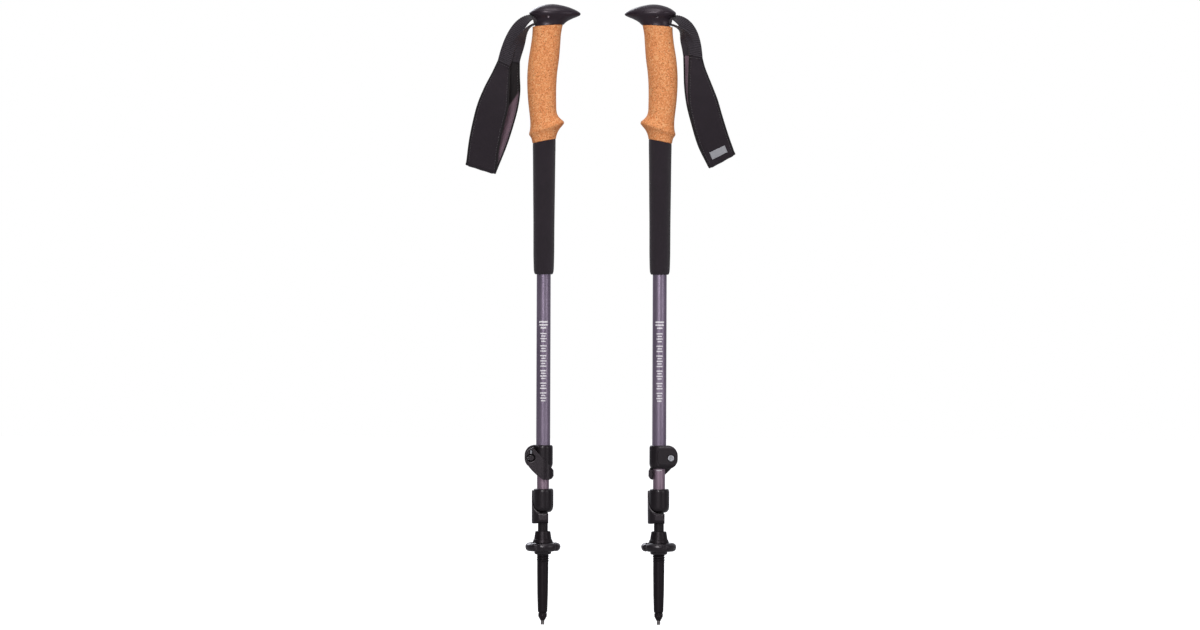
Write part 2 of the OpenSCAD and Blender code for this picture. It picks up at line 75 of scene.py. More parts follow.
AXIS = {side: axis_x(side) for side in SIDES}
TURN = {"left": 1, "right": -1}
NEAR_Y = {"left": -1, "right": 1}      # where the viewer is in each pole's frame


def to_world(side, points):
    """Pole frame in millimetres to the row frame in metres."""
    p = np.asarray(points, float)
    out = np.empty_like(p)
    out[..., 0] = AXIS[side] + TURN[side] * p[..., 0]
    out[..., 1] = TURN[side] * p[..., 1]
    out[..., 2] = p[..., 2]
    return out * MM


CORK_TOP, HEAD_TOP = (corner[2] for corner in box_mm("left_grip_head"))
FOAM_END = box_mm("left_foam_sleeve")[0][2]
TUBE_R = {part: np.ptp(box_mm("left_%s_tube" % part), axis=0)[1] / 2 for part in ("upper", "middle", "lower")}


# ---- Curves and surfaces ----

def spline(table, steps):
    """Catmull-Rom curve through the rows of a table, with the given number of samples per span."""
    t = np.asarray(table, float)
    t = np.vstack([2 * t[0] - t[1], t, 2 * t[-1] - t[-2]])
    rows = []
    for i in range(1, len(t) - 2):
        for u in np.arange(steps) / steps:
            a, b, c, d = t[i - 1], t[i], t[i + 1], t[i + 2]
            rows.append(0.5 * (2 * b + (c - a) * u + (2 * a - 5 * b + 4 * c - d) * u * u
                               + (3 * b - a - 3 * c + d) * u ** 3))
    rows.append(t[-2])
    return np.array(rows)


def smoothstep(u):
    u = np.clip(u, 0, 1)
    return u * u * (3 - 2 * u)


def unit(v):
    v = np.asarray(v, float)
    return v / np.linalg.norm(v)


def circle(r, z, points=96):
    """Points round a level circle about the Z axis."""
    return [(r * math.cos(2 * math.pi * k / points), r * math.sin(2 * math.pi * k / points), z)
            for k in range(points)]


def rounded_box(half_w, half_h, corner):
    """Outline of a rounded rectangle about the origin."""
    outline = []
    for sx, sy, start in ((1, 1, 0), (-1, 1, 90), (-1, -1, 180), (1, -1, 270)):
        for a in range(0, 91, 15):
            t = math.radians(start + a)
            outline.append((sx * (half_w - corner) + corner * math.cos(t),
                            sy * (half_h - corner) + corner * math.sin(t)))
    return outline


def placed(name, data):
    """A new object with this data, linked into the scene."""
    obj = bpy.data.objects.new(name, data)
    bpy.context.scene.collection.objects.link(obj)
    return obj


def from_bmesh(name, bm, material):
    """A new object from a bmesh, with its faces turned outwards."""
    bmesh.ops.recalc_face_normals(bm, faces=bm.faces)
    mesh = bpy.data.meshes.new(name)
    bm.to_mesh(mesh)
    bm.free()
    mesh.materials.append(material)
    return placed(name, mesh)


def weld(obj, reach=0.00001):
    """Joins points that lie within this many metres of one another."""
    obj.modifiers.new("weld", "WELD").merge_threshold = reach


def subtract(obj, cutter):
    """Adds a cut to an object. The cutter has to stay until the object is baked."""
    m = obj.modifiers.new("cut", "BOOLEAN")
    m.operation = "DIFFERENCE"
    m.solver = "EXACT"
    m.object = cutter


def grid_faces(rows, cols):
    """Quads over a grid of rows x cols points, closed round the columns."""
    out = []
    for i in range(rows - 1):
        for j in range(cols):
            k = (j + 1) % cols
            out.append((i * cols + j, i * cols + k, (i + 1) * cols + k, (i + 1) * cols + j))
    return out


def surface(name, rings, materials, caps=True, slot_of=None, uv=None, sharp=None):
    """A mesh object through rings of points already in metres. slot_of(j) picks a column's material."""
    rings = np.asarray(rings, float)
    rows, cols = rings.shape[:2]
    faces = grid_faces(rows, cols)
    if caps:
        faces.append(tuple(range(cols))[::-1])
        faces.append(tuple((rows - 1) * cols + j for j in range(cols)))
    mesh = bpy.data.meshes.new(name)
    mesh.from_pydata([tuple(p) for p in rings.reshape(-1, 3)], [], faces)
    for m in materials:
        mesh.materials.append(m)
    if slot_of:
        for k in range((rows - 1) * cols):
            mesh.polygons[k].material_index = slot_of(k % cols)
    if uv is not None:
        layer = mesh.uv_layers.new(name="UVMap")
        for p in mesh.polygons:
            for li in p.loop_indices:
                i, j = divmod(mesh.loops[li].vertex_index, cols)
                layer.data[li].uv = uv[i][j]
    b = bmesh.new()
    b.from_mesh(mesh)
    bmesh.ops.recalc_face_normals(b, faces=b.faces)
    b.to_mesh(mesh)
    b.free()
    mesh.shade_smooth()
    if sharp:
        mesh.set_sharp_from_angle(angle=math.radians(sharp))
    return placed(name, mesh)


def lathe(name, side, profile, material, twist, segments=128, sharp=50):
    """A turned piece: profile is a list of (radius, height); twist(angle, r, z) may change a radius."""
    angles = [2 * math.pi * k / segments for k in range(segments)]
    rings = [[(twist(a, r, z) * math.cos(a), twist(a, r, z) * math.sin(a), z) for a in angles]
             for r, z in profile]
    return surface(name, to_world(side, rings), [material], sharp=sharp)


def baked(obj):
    """Applies an object's modifiers."""
    graph = bpy.context.evaluated_depsgraph_get()
    mesh = bpy.data.meshes.new_from_object(obj.evaluated_get(graph))
    obj.modifiers.clear()
    old = obj.data
    obj.data = mesh
    bpy.data.meshes.remove(old)
    return obj


def softened(node, name, material, voxel, rounds, cutters=()):
    """A copy of a CAD node with its edges rounded over, as a moulding's are. Sizes are in millimetres."""
    obj = placed(name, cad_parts[node].data.copy())
    obj.data.materials.clear()
    obj.data.materials.append(material)
    weld(obj)
    for cutter in cutters:
        subtract(obj, cutter)
    m = obj.modifiers.new("remesh", "REMESH")
    m.mode = "VOXEL"
    m.voxel_size = voxel * MM
    m.use_smooth_shade = True
    s = obj.modifiers.new("soften", "SMOOTH")
    s.factor = 0.5
    s.iterations = rounds
    baked(obj)
    for cutter in cutters:
        bpy.data.objects.remove(cutter)
    for p in obj.data.polygons:
        p.use_smooth = True
        p.material_index = 0
    return obj


def hand_over(obj, body, slot, *nodes):
    """Fixes a finished piece to its CAD body, in place of the named CAD nodes. Its material slot is not used.
    """
    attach(obj, body)
    if nodes:
        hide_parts(*nodes)
    return obj


# ---- Materials ----

RIB_PITCH, YARN_PITCH = 1.8, 0.7      # of the webbing, in millimetres


def rgb(r, g, b):
    """An sRGB colour, 0 to 255, as linear RGBA."""
    def lin(c):
        c /= 255
        return c / 12.92 if c <= 0.04045 else ((c + 0.055) / 1.055) ** 2.4
    return (lin(r), lin(g), lin(b), 1)


class Maker:
    """Small helper that builds a node tree round one Principled shader."""

    def __init__(self, name):
        self.mat = bpy.data.materials.new(name)
        self.mat.use_nodes = True
        self.tree = self.mat.node_tree
        self.shader = self.tree.nodes["Principled BSDF"]
        self.coord = self.node("ShaderNodeTexCoord")
        self.height = None

    def node(self, kind, **values):
        n = self.tree.nodes.new(kind)
        for key, value in values.items():
            setattr(n, key, value)
        return n

    def link(self, a, b):
        self.tree.links.new(a, b)

    def set(self, **values):
        """Sets the shader's inputs, with an underscore for each space in their names."""
        for key, value in values.items():
            self.shader.inputs[key.replace("_", " ")].default_value = value

    def mapped(self, scale, space="Object", rotation=(0, 0, 0)):
        m = self.node("ShaderNodeMapping")
        m.inputs["Scale"].default_value = scale if hasattr(scale, "__len__") else (scale,) * 3
        m.inputs["Rotation"].default_value = rotation
        self.link(self.coord.outputs[space], m.inputs["Vector"])
        return m.outputs["Vector"]

    def noise(self, vector, detail=2.0, roughness=0.5):
        n = self.node("ShaderNodeTexNoise")
        n.inputs["Scale"].default_value = 1.0
        n.inputs["Detail"].default_value = detail
        n.inputs["Roughness"].default_value = roughness
        self.link(vector, n.inputs["Vector"])
        return n.outputs["Fac"]

    def cells(self, vector, feature="F1", output="Distance"):
        n = self.node("ShaderNodeTexVoronoi", feature=feature)
        n.inputs["Scale"].default_value = 1.0
        self.link(vector, n.inputs["Vector"])
        return n.outputs[output]

    def wave(self, vector, scale, direction, distortion=0.0):
        n = self.node("ShaderNodeTexWave", bands_direction=direction)
        n.inputs["Scale"].default_value = scale
        n.inputs["Distortion"].default_value = distortion
        self.link(vector, n.inputs["Vector"])
        return n.outputs["Fac"]

    def ramp(self, value, *stops):
        n = self.node("ShaderNodeValToRGB")
        while len(n.color_ramp.elements) < len(stops):
            n.color_ramp.elements.new(0.5)
        for e, (place, colour) in zip(n.color_ramp.elements, stops):
            e.position = place
            e.color = colour if hasattr(colour, "__len__") else (colour, colour, colour, 1)
        self.link(value, n.inputs["Fac"])
        return n.outputs["Color"]

    def math(self, op, a, b):
        n = self.node("ShaderNodeMath", operation=op)
        self.fill(n.inputs[0], a)
        self.fill(n.inputs[1], b)
        return n.outputs[0]

    def mix(self, fac, a, b):
        n = self.node("ShaderNodeMix", data_type="RGBA")
        colour_a, colour_b, colour_out = 6, 7, 2
        self.fill(n.inputs["Factor"], fac)
        self.fill(n.inputs[colour_a], a)
        self.fill(n.inputs[colour_b], b)
        return n.outputs[colour_out]

    def fill(self, socket, value):
        """Links an output to a socket, or sets the socket to a plain value."""
        if hasattr(value, "node"):
            self.link(value, socket)
        else:
            socket.default_value = value

    def colour(self, value):
        self.link(value, self.shader.inputs["Base Color"])

    def rough(self, value):
        self.link(value, self.shader.inputs["Roughness"])

    def bump(self, value, depth_mm, strength):
        n = self.node("ShaderNodeBump")
        n.inputs["Strength"].default_value = strength
        n.inputs["Distance"].default_value = depth_mm * MM
        self.link(value, n.inputs["Height"])
        if self.height is not None:
            self.link(self.height, n.inputs["Normal"])
        self.height = n.outputs["Normal"]
        self.link(self.height, self.shader.inputs["Normal"])


def lighter(colour, step):
    """An sRGB colour brightened by the same step in each channel."""
    return rgb(*[min(255, c + step) for c in colour])


def cork_material():
    m = Maker("cork")
    m.set(Roughness=0.78, IOR=1.35)
    grain = m.mapped(900)
    fine = m.mapped(2600)
    tone = m.ramp(m.cells(grain, output="Color"), (0.0, rgb(184, 98, 51)), (0.25, rgb(220, 134, 80)),
                  (0.6, rgb(243, 162, 104)), (1.0, rgb(255, 208, 152)))
    tone = m.mix(m.ramp(m.noise(fine, detail=4), (0.35, 0.0), (0.75, 0.55)), tone, rgb(188, 108, 56))
    tone = m.mix(m.ramp(m.noise(m.mapped(140)), (0.3, 0.0), (0.7, 0.3)), tone, rgb(232, 158, 100))
    flecks = m.ramp(m.cells(m.mapped((620, 620, 460))), (0.0, 1.0), (0.16, 0.85), (0.26, 0.0))
    sparse = m.ramp(m.noise(m.mapped(700), detail=1), (0.47, 0.0), (0.58, 1.0))
    specks = m.math("MULTIPLY", flecks, sparse)
    m.colour(m.mix(specks, tone, rgb(96, 50, 28)))
    joints = m.ramp(m.cells(grain, feature="DISTANCE_TO_EDGE"), (0.0, 0.0), (0.08, 1.0))
    m.bump(joints, 0.05, 0.6)
    m.bump(m.noise(fine, detail=3), 0.10, 0.5)
    m.bump(m.math("MULTIPLY", specks, -1.0), 0.20, 0.7)
    return m.mat


def foam_material():
    m = Maker("eva_foam")
    m.set(Roughness=0.88, IOR=1.4, Sheen_Weight=0.12, Sheen_Roughness=0.6)
    cells = m.cells(m.mapped(1500))
    blotch = m.noise(m.mapped(60), detail=3)
    m.colour(m.mix(blotch, rgb(26, 18, 25), rgb(37, 27, 36)))
    m.bump(cells, 0.06, 0.55)
    m.bump(m.noise(m.mapped(500), detail=4), 0.05, 0.4)
    return m.mat


def plastic(name, dark, light, rough, grain=0.5, gloss=0.0, shine=0.28):
    """Moulded plastic: fine spark-eroded grain, faint flow tone and handling sheen."""
    m = Maker(name)
    m.set(Specular_IOR_Level=shine, Specular_Tint=(1.0, 0.88, 0.97, 1))
    m.set(Coat_Weight=gloss, Coat_Roughness=0.18)
    m.colour(m.mix(m.noise(m.mapped(90), detail=3), rgb(*dark), rgb(*light)))
    wear = m.noise(m.mapped(240), detail=5, roughness=0.6)
    m.rough(m.ramp(wear, (0.3, rough - 0.06), (0.7, rough + 0.08)))
    m.bump(m.noise(m.mapped(2600)), 0.02, grain)
    m.bump(m.noise(m.mapped(420)), 0.015, grain * 0.6)
    return m.mat


def anodised(name, low, high, metal=0.8, rough=0.36):
    """Satin anodised tube: drawn lines along it, faint rings round it, and a faint cloudy tone."""
    m = Maker(name)
    m.set(Metallic=metal, Anisotropic=0.35)
    drawn = m.noise(m.mapped((5200, 5200, 9)))
    rings = m.noise(m.mapped((8, 8, 2400)), detail=1)
    cloud = m.noise(m.mapped((40, 40, 12)))
    tone = m.mix(m.ramp(cloud, (0.35, 0.0), (0.7, 1.0)), rgb(*low), rgb(*high))
    m.colour(m.mix(m.ramp(drawn, (0.3, 0.0), (0.75, 0.16)), tone, lighter(high, 26)))
    m.rough(m.ramp(m.math("ADD", m.math("MULTIPLY", drawn, 0.6), m.math("MULTIPLY", rings, 0.4)),
                   (0.3, rough - 0.05), (0.7, rough + 0.07)))
    m.bump(drawn, 0.006, 0.35)
    return m.mat


def steel_material(name, low, high):
    """Plated or blackened steel with a fine, slightly uneven finish."""
    m = Maker(name)
    m.set(Metallic=1.0)
    m.colour(m.mix(m.noise(m.mapped(300), detail=3), rgb(*low), rgb(*high)))
    m.rough(m.ramp(m.noise(m.mapped(900), detail=3), (0.3, 0.24), (0.7, 0.4)))
    m.bump(m.noise(m.mapped(1500)), 0.01, 0.3)
    return m.mat


def bands(pitch):
    """Scale of a wave texture that gives one band for each pitch, in the texture's own units."""
    return math.pi / 10 / pitch


def webbing_material():
    """Ribbed nylon webbing: U runs along it and V across it, both in millimetres."""
    m = Maker("ribbed_webbing")
    m.set(Roughness=0.72, IOR=1.45, Sheen_Weight=0.25, Sheen_Roughness=0.45)
    flat = m.mapped(1, space="UV")
    ribs = m.wave(flat, bands(RIB_PITCH), "X")
    yarn = m.wave(flat, bands(YARN_PITCH), "Y", distortion=0.4)
    tone = m.mix(ribs, rgb(12, 8, 13), rgb(46, 37, 46))
    m.colour(m.mix(m.math("MULTIPLY", yarn, 0.3), tone, rgb(54, 45, 54)))
    m.bump(yarn, 0.06, 0.5)
    m.bump(m.noise(m.mapped(3000)), 0.03, 0.4)
    return m.mat


def cloth_material(name, dark, light, pitch, sheen, painted_shade=False):
    """Woven or knitted cover: U runs along the strap and V across it, both in millimetres. With painted_shade
    set, the cloth is painted nearly black in a slanted wedge below the seam: painted shade between the pad's
    two layers."""
    m = Maker(name)
    m.set(Roughness=0.85, IOR=1.4, Sheen_Weight=sheen, Sheen_Roughness=0.5)
    turns = m.mapped((1 / pitch, 1 / pitch, 1), space="UV", rotation=(0, 0, math.radians(45)))
    warp = m.wave(turns, 0.5, "X", distortion=0.6)
    weft = m.wave(turns, 0.5, "Y", distortion=0.6)
    knit = m.math("MULTIPLY", warp, weft)
    soft = m.noise(m.mapped(70), detail=4)
    tone = m.mix(soft, rgb(*dark), rgb(*light))
    tone = m.mix(m.math("MULTIPLY", knit, 0.5), tone, lighter(light, 14))
    if painted_shade:
        # Painted shade on the lining: nearly black in a slanted wedge below the seam, fading to the cloth's
        # own tone over 4 mm.
        past = m.node("ShaderNodeAttribute", attribute_name="past_painted_shade").outputs["Fac"]
        tone = m.mix(m.ramp(m.math("MULTIPLY", past, 0.25), (0.0, 1.0), (1.0, 0.0)), tone, rgb(20, 15, 18))
    m.colour(tone)
    m.bump(knit, 0.08, 0.6)
    m.bump(m.noise(m.mapped(1800), detail=3), 0.05, 0.5)
    m.bump(m.noise(m.mapped(120)), 0.25, 0.25)
    return m.mat


def carbide_material():
    m = Maker("sintered_carbide")
    m.set(Metallic=0.9)
    m.colour(m.mix(m.noise(m.mapped(700), detail=4), rgb(104, 98, 99), rgb(140, 134, 134)))
    m.rough(m.ramp(m.noise(m.mapped(1200), detail=3), (0.3, 0.35), (0.7, 0.55)))
    m.bump(m.noise(m.mapped(2200), detail=3), 0.03, 0.5)
    return m.mat


def print_material():
    """Off-white screen print, slightly worn through to the tube's colour."""
    m = Maker("screen_print")
    m.set(Roughness=0.5)
    wear = m.ramp(m.noise(m.mapped(1400), detail=5, roughness=0.7), (0.62, 0.0), (0.72, 0.35))
    m.colour(m.mix(wear, rgb(226, 222, 226), rgb(140, 126, 144)))
    m.bump(m.noise(m.mapped(2500)), 0.01, 0.3)
    return m.mat


def thread_material():
    m = Maker("stitching_thread")
    m.set(Roughness=0.6, Sheen_Weight=0.3)
    twist = m.noise(m.mapped(4000))
    m.colour(m.mix(twist, rgb(24, 19, 24), rgb(54, 46, 52)))
    m.bump(twist, 0.04, 0.6)
    return m.mat


def floor_material():
    """Pale paper. Seen directly it is lifted to the backdrop's white, so that only contact shadows show."""
    m = Maker("studio_floor")
    m.set(Roughness=0.9, Emission_Color=(1, 1, 1, 1))
    m.colour(m.mix(m.noise(m.mapped(3)), rgb(170, 169, 170), rgb(182, 181, 182)))
    seen = m.node("ShaderNodeLightPath").outputs["Is Camera Ray"]
    m.link(m.math("MULTIPLY", seen, 0.93), m.shader.inputs["Emission Strength"])
    return m.mat


CORK = cork_material()
FOAM = foam_material()
HEAD = plastic("soft_touch_head", (27, 18, 25), (34, 24, 32), 0.36, grain=0.4, shine=0.5)
CORE = plastic("core_nylon", (20, 18, 20), (28, 26, 28), 0.5)
LOCK = plastic("glass_filled_nylon", (13, 9, 12), (20, 15, 19), 0.42, grain=0.55, gloss=0.3)
LEVER = plastic("lever_plastic", (13, 8, 12), (20, 13, 18), 0.34, grain=0.4, gloss=0.3, shine=0.4)
# Painted shade for the bottom of the lever's ring groove: near-black and dull.
GROOVE_SHADE = plastic("groove_painted_shade", (3, 2, 3), (6, 4, 6), 0.7, shine=0.1)
FERRULE = plastic("ferrule_plastic", (11, 7, 10), (17, 12, 15), 0.42, grain=0.5)
BASKET = plastic("basket_plastic", (12, 8, 12), (18, 13, 18), 0.4, grain=0.25, gloss=0.3, shine=0.4)
NOSE = plastic("nose_plastic", (20, 15, 18), (28, 22, 25), 0.42)
GUIDE = plastic("natural_nylon", (206, 203, 194), (220, 218, 210), 0.5)
UPPER = anodised("upper_anodising", (126, 113, 133), (147, 133, 153))
MIDDLE = anodised("middle_anodising", (142, 120, 136), (166, 144, 159))
LOWER = anodised("lower_anodising", (26, 20, 24), (34, 28, 32), metal=0.5, rough=0.34)
STEEL = steel_material("zinc_plated_steel", (150, 150, 156), (196, 197, 202))
BLACKED = steel_material("blackened_steel", (52, 46, 50), (70, 64, 68))
WEBBING = webbing_material()
COVER = cloth_material("pad_cover", (24, 16, 23), (33, 24, 32), 1.1, 0.15)
BINDING = cloth_material("pad_binding", (14, 10, 13), (20, 15, 18), 0.8, 0.12)
# The lining carries painted shade in a slanted wedge below the seam.
LINING = cloth_material("pad_lining", (94, 73, 86), (118, 95, 107), 0.9, 0.4, painted_shade=True)
LABEL = cloth_material("woven_label", (132, 132, 137), (164, 164, 169), 0.7, 0.1)
PRINT = print_material()
THREAD = thread_material()
CARBIDE = carbide_material()


# ---- Cork grip and head ----

RING_POINTS = 112
JOINT_TILT = 0.065      # the head meets the cork on a slight slant
FRONT_RISE, REAR_DROP = JOINT_TILT * 18, JOINT_TILT * 12


def oval_rings(table, steps, corner):
    """Rings between the front and rear edges of a handle.
    Each row is front x, front z, rear x, rear z, half width, and how much the front narrows."""
    rings = []
    for fx, fz, rx, rz, w, nose in spline(table, steps):
        ring = []
        for k in range(RING_POINTS):
            a = 2 * math.pi * k / RING_POINTS
            c, s = math.cos(a), math.sin(a)
            c2 = math.copysign(abs(c) ** (2 / corner), c)
            s2 = math.copysign(abs(s) ** (2 / corner), s)
            ring.append(((fx + rx) / 2 + (fx - rx) / 2 * c2, w * s2 * (1 - nose * c),
                         (fz + rz) / 2 + (fz - rz) / 2 * c2))
        rings.append(ring)
    return np.array(rings)


def cork_table():
    """Edges of the cork from its lower end up: joint, flared flange, palm swell, neck."""
    z = CORK_TOP
    return [
        (10.6, 485.2, -10.8, 480.9, 10.9, 0), (11.7, 485.9, -11.8, 481.6, 11.7, 0),
        (12.1, 488.0, -12.3, 483.9, 12.0, 0), (13.2, 491.6, -12.9, 486.2, 12.6, 0),
        (15.4, 495.6, -13.9, 487.8, 13.8, 0), (18.4, 499.2, -14.8, 489.0, 15.6, 0),
        (19.8, 501.4, -15.2, 490.2, 16.4, 0), (19.1, 503.4, -15.0, 491.6, 16.0, 0),
        (16.2, 505.8, -14.5, 493.6, 14.7, 0), (13.6, 509.0, -14.1, 496.8, 13.6, 0),
        (12.2, 513.6, -14.0, 502.0, 13.1, 0), (11.9, 521.0, -14.7, 510.0, 13.0, 0),
        (11.8, 530.0, -16.2, 523.0, 13.1, 0), (12.0, 541.0, -17.1, 537.0, 13.3, 0),
        (12.9, 553.0, -17.1, 551.0, 13.5, 0), (14.6, 566.0, -15.9, 565.0, 13.2, 0),
        (15.7, 580.0, -13.7, 579.0, 12.7, 0), (16.4, 590.0, -12.4, 589.0, 12.4, 0),
        (17.9, z - 0.7 + FRONT_RISE, -12.0, z - 0.7 - REAR_DROP, 12.4, 0),
        (18.3, z - 0.1 + FRONT_RISE, -12.2, z - 0.1 - REAR_DROP, 12.4, 0),
    ]


def head_table():
    """Edges of the head from the cork up: neck, flare to the beak, rim, dome."""
    z = CORK_TOP
    return [
        (17.6, z + 0.1 + FRONT_RISE, -11.8, z + 0.1 - REAR_DROP, 12.0, 0.00),
        (18.4, z + 0.6 + FRONT_RISE, -12.3, z + 0.5 - REAR_DROP, 12.5, 0.00),
        (19.3, z + 2.0, -11.6, z + 1.6, 12.4, 0.02),
        (21.0, z + 3.8, -10.8, z + 3.7, 12.6, 0.05),
        (23.8, z + 5.7, -10.9, z + 5.7, 13.2, 0.09),
        (28.0, z + 7.8, -11.9, z + 7.6, 14.4, 0.15),
        (32.4, z + 9.6, -13.5, z + 9.6, 15.9, 0.22),
        (35.2, z + 11.0, -14.9, z + 11.4, 16.8, 0.27),
        (36.0, z + 12.4, -15.4, z + 13.0, 17.1, 0.28),
        (35.2, z + 13.8, -14.8, z + 14.4, 16.9, 0.28),
        (32.6, z + 15.5, -13.0, z + 15.9, 15.9, 0.26),
        (28.4, z + 17.5, -10.3, z + 17.8, 14.1, 0.22),
        (23.2, z + 19.4, -6.4, z + 19.6, 11.4, 0.16),
        (17.0, z + 21.0, -1.8, z + 21.0, 7.6, 0.10),
        (11.6, HEAD_TOP - 0.25, 2.8, HEAD_TOP - 0.25, 3.4, 0.04),
        (8.2, HEAD_TOP - 0.05, 6.2, HEAD_TOP - 0.05, 0.8, 0.00),
    ]


POCKET = {"mouth": (-11.5, 603.7), "slope": 12.0, "width": 16.6, "height": 10.2, "depth": 24.0}


def wedge_frame(along, up):
    """A point in the pocket: distance in from its mouth, and height over its middle."""
    slope = math.radians(POCKET["slope"])
    x, z = POCKET["mouth"]
    return np.array([x + along * math.cos(slope) - up * math.sin(slope), 0,
                     z + along * math.sin(slope) + up * math.cos(slope)])


def pocket_cutter(side):
    """The pocket that takes the strap and its wedge: a rounded bar through the rear of the head, with a
    bell mouth."""
    w, h = POCKET["width"] / 2, POCKET["height"] / 2
    outline = rounded_box(w, h, 1.6)
    rings = []
    for along, grow in ((-14.0, 3.2), (-2.5, 2.0), (1.2, 0.8), (4.0, 0.0), (POCKET["depth"], 0.0)):
        rings.append([wedge_frame(along, v * (1 + grow / h)) + np.array([0, y * (1 + grow / w), 0])
                      for y, v in outline])
    return surface("cutter", to_world(side, rings), [HEAD])


def pin_cutter(side):
    """A bar a little wider than the strap pin, so that the pin's ends show in the sides of the head."""
    hole_r, reach, points = 1.32, 20.0, 24
    lo, hi = box_mm("left_strap_pin")
    x, z = (lo[0] + hi[0]) / 2 - AXIS["left"], (lo[2] + hi[2]) / 2
    rings = [[(x + u, y, z + v) for u, v, _ in circle(hole_r, 0, points)] for y in (-reach, reach)]
    return surface("cutter", to_world(side, rings), [HEAD])


def cut(obj, cutter):
    """Cuts a shape out of an object for good, with crisp edges where it was cut."""
    subtract(obj, cutter)
    baked(obj)
    bpy.data.objects.remove(cutter)
    obj.data.set_sharp_from_angle(angle=math.radians(38))


def build_handle(side):
    cork = surface(side + "_cork", to_world(side, oval_rings(cork_table(), 7, corner=2.08)), [CORK])
    hand_over(cork, side + "_grip", "cork", side + "_cork_grip")
    head = surface(side + "_head", to_world(side, oval_rings(head_table(), 6, corner=2.1)), [HEAD])
    cut(head, pocket_cutter(side))
    cut(head, pin_cutter(side))
    hand_over(head, side + "_grip", "head_plastic", side + "_grip_head")


def build_foam(side):
    """Foam sleeve: lathed, with a rolled lower end and an upper end cut on the slant."""
    slant, slant_z = 0.2, 483.3
    shape = [(7.05, 0.4), (7.4, 0.1), (8.0, 0.0), (8.7, 0.25), (9.3, 1.1), (9.75, 2.6), (10.02, 4.8),
             (10.2, 9.0), (10.45, 20.0), (10.52, 35.0), (10.62, 55.0), (10.85, 75.0), (11.05, 95.0),
             (11.25, 115.0), (11.4, 125.0)]
    rings = [circle(r, z) for r, z in spline([(r, FOAM_END + z) for r, z in shape], 6)]
    for r, lift in ((11.45, -1.2), (11.4, -0.5), (11.1, -0.1), (10.4, 0.0), (7.2, 0.0)):
        rings.append([(x, y, slant_z + lift + slant * x) for x, y, _ in circle(r, 0)])
    rings.append(rings[0])
    obj = surface(side + "_foam", to_world(side, rings), [FOAM], caps=False)
    weld(obj, 0.000001)
    baked(obj)
    hand_over(obj, side + "_grip", "foam", side + "_foam_sleeve")


# ---- Strap ----

# The two edges of each layer of the padded strap, in the pole frame, from the seam down to the fold: the
# edge away from the pole, then the edge towards it. The near layer is the one towards the viewer.
LAYERS = {
    "left": {
        "near": [
            (-45.6, 566.3, -33.9, 560.3), (-52.2, 551.8, -34.4, 546.1), (-59.9, 536.6, -34.9, 530.6),
            (-66.2, 521.4, -35.8, 515.6), (-70.5, 506.1, -39.6, 499.6), (-75.0, 484.6, -44.6, 477.1),
            (-77.9, 462.4, -47.4, 453.2)],
        "far": [
            (-37.5, 567.1, -24.6, 564.1), (-44.4, 552.1, -24.5, 548.1), (-51.4, 539.1, -24.1, 533.6),
            (-56.4, 525.1, -25.9, 519.1), (-60.9, 510.6, -29.6, 503.6), (-68.4, 487.1, -37.0, 479.6),
            (-77.9, 462.4, -47.4, 453.2)],
    },
    "right": {
        "near": [
            (-41.4, 569.6, -28.6, 572.6), (-45.0, 556.1, -27.7, 555.1), (-51.3, 540.1, -27.1, 537.6),
            (-57.3, 524.6, -27.7, 520.1), (-61.6, 510.1, -31.0, 503.1), (-67.7, 491.1, -38.1, 479.1),
            (-74.0, 473.7, -47.4, 459.3)],
        "far": [
            (-35.6, 572.1, -22.6, 572.1), (-40.1, 557.1, -23.1, 556.1), (-48.1, 541.1, -23.8, 538.6),
            (-55.6, 526.1, -26.1, 521.1), (-61.1, 510.9, -30.4, 503.6), (-67.4, 491.6, -37.6, 479.6),
            (-74.0, 473.7, -47.4, 459.3)],
    },
}
FOLD_R = 2.4
BOW_Y = 7.0             # how far each layer bows away from the other
SEAM_Y = 1.7
PAD_T = 3.0
WEB_W = 14.0
WEB_T = 1.5
OUTWARD = {"left": 1, "right": -1}     # sign that makes a layer's face point away from the other layer
# Painted shade on the left strap's lining, in a slanted wedge below the seam: its length, and how much longer
# it gets for
# # each millimetre across. The right strap gets none, which any value above 4 stands for.
SHADE_WEDGE_LENGTH, SHADE_WEDGE_SLANT, NO_SHADE_WEDGE = 26, 2.1, 20
SPLINE_STEPS = 40
EDGES = {side: {layer: spline(rows, SPLINE_STEPS) for layer, rows in layers.items()}
         for side, layers in LAYERS.items()}


def pad_edges(side, t):
    """Both edges of the pad. t from 0 to 1 runs down the near layer, to 2 round the fold, to 3 back up."""
    table = EDGES[side]["near" if t < 1.5 else "far"]
    place = min(t, 3 - t, 1) * (len(table) - 1)
    i = min(int(place), len(table) - 2)
    row = table[i] + (table[i + 1] - table[i]) * (place - i)
    return np.array([row[0], 0, row[1]]), np.array([row[2], 0, row[3]])


def pad_across(side, t):
    """Direction of the pad's width, towards the pole."""
    a, b = pad_edges(side, t)
    return unit(b - a)


def pad_width(side, t):
    a, b = pad_edges(side, t)
    return np.linalg.norm(b - a)


def pad_point(side, t):
    """Centre line of the pad."""
    a, b = pad_edges(side, t)
    centre = (a + b) / 2
    near = NEAR_Y[side]
    if 1 <= t <= 2:
        turn = math.pi * (t - 1)
        w = unit(b - a)
        down = np.array([w[2], 0, -w[0]])
        return centre + down * FOLD_R * math.sin(turn) + np.array([0, near * FOLD_R * math.cos(turn), 0])
    u = min(t, 3 - t)
    gap = SEAM_Y + (FOLD_R - SEAM_Y) * u + BOW_Y * math.sin(math.pi * u) ** 1.5
    wave = 0.5 * math.sin(9 * u + (0 if t < 1 else 2)) * math.sin(math.pi * u)
    return centre + np.array([0, (near if t < 1 else -near) * (gap + wave), 0])


